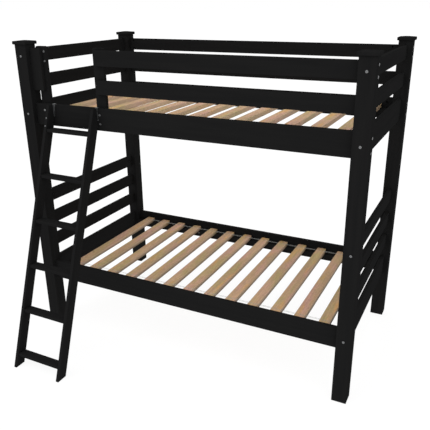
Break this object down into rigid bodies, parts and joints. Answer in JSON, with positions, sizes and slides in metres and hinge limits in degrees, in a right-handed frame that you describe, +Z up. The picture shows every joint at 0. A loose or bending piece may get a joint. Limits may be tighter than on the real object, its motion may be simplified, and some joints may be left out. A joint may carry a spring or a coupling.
{
  "type": "bunk bed",
  "caption": "Bunk bed of square posts and flat rails with slatted bases, open guard rails and a leaning lift-off ladder that hooks on the upper rail.",
  "frame": {"origin": "on the floor, under the middle of the whole object, ladder included", "axes": "+X along the bed's length to the right, +Y from the ladder's side to the back, +Z up"},
  "size_m": [2.016, 1.586, 1.782],
  "materials": {
    "black_paint": "smooth satin black paint over solid wood",
    "slat_wood": "plain sawn pine, unvarnished",
    "cord": "thin twisted grey-white cord",
    "steel": "zinc-plated, dull",
    "beech": "turned beech, unfinished"
  },
  "bodies": {
    "bed": {"post_front_left": "black_paint", "post_front_right": "black_paint", "post_back_left": "black_paint", "post_back_right": "black_paint", "cap_front_left": "black_paint", "cap_front_right": "black_paint", "cap_back_left": "black_paint", "cap_back_right": "black_paint", "upper_side_rail_front": "black_paint", "upper_side_rail_back": "black_paint", "lower_side_rail_front": "black_paint", "lower_side_rail_back": "black_paint", "upper_left_rail_1": "black_paint", "upper_left_rail_2": "black_paint", "upper_left_rail_3": "black_paint", "upper_right_rail_1": "black_paint", "upper_right_rail_2": "black_paint", "upper_right_rail_3": "black_paint", "lower_left_rail_1": "black_paint", "lower_left_rail_2": "black_paint", "lower_left_rail_3": "black_paint", "lower_left_rail_4": "black_paint", "lower_right_rail_1": "black_paint", "lower_right_rail_2": "black_paint", "lower_right_rail_3": "black_paint", "lower_right_rail_4": "black_paint", "back_guard_1": "black_paint", "back_guard_2": "black_paint", "front_guard_1": "black_paint", "front_guard_2": "black_paint", "short_guard": "black_paint", "upright_left": "black_paint", "upright_right": "black_paint", "upper_cleat_front": "black_paint", "upper_cleat_back": "black_paint", "lower_cleat_front": "black_paint", "lower_cleat_back": "black_paint", "upper_slats": "slat_wood", "lower_slats": "slat_wood", "upper_slat_cords": "cord", "lower_slat_cords": "cord", "end_rail_bolts": "steel", "side_rail_bolts": "steel", "upright_bolts": "steel", "barrel_nuts": "steel", "dowels": "beech", "cleat_screws": "steel", "guard_screws": "steel"},
    "ladder": {"ladder_rail_left": "black_paint", "ladder_rail_right": "black_paint", "ladder_tread_1": "black_paint", "ladder_tread_2": "black_paint", "ladder_tread_3": "black_paint", "ladder_tread_4": "black_paint", "ladder_tread_5": "black_paint", "ladder_tread_6": "black_paint", "ladder_hook_left": "steel", "ladder_hook_right": "steel", "ladder_screws": "steel"}
  },
  "joints": [
    {"name": "ladder_lift", "type": "slide", "parent": "bed", "child": "ladder", "axis": [0, 0, 1], "range_m": [0, 0.05]}
  ]
}
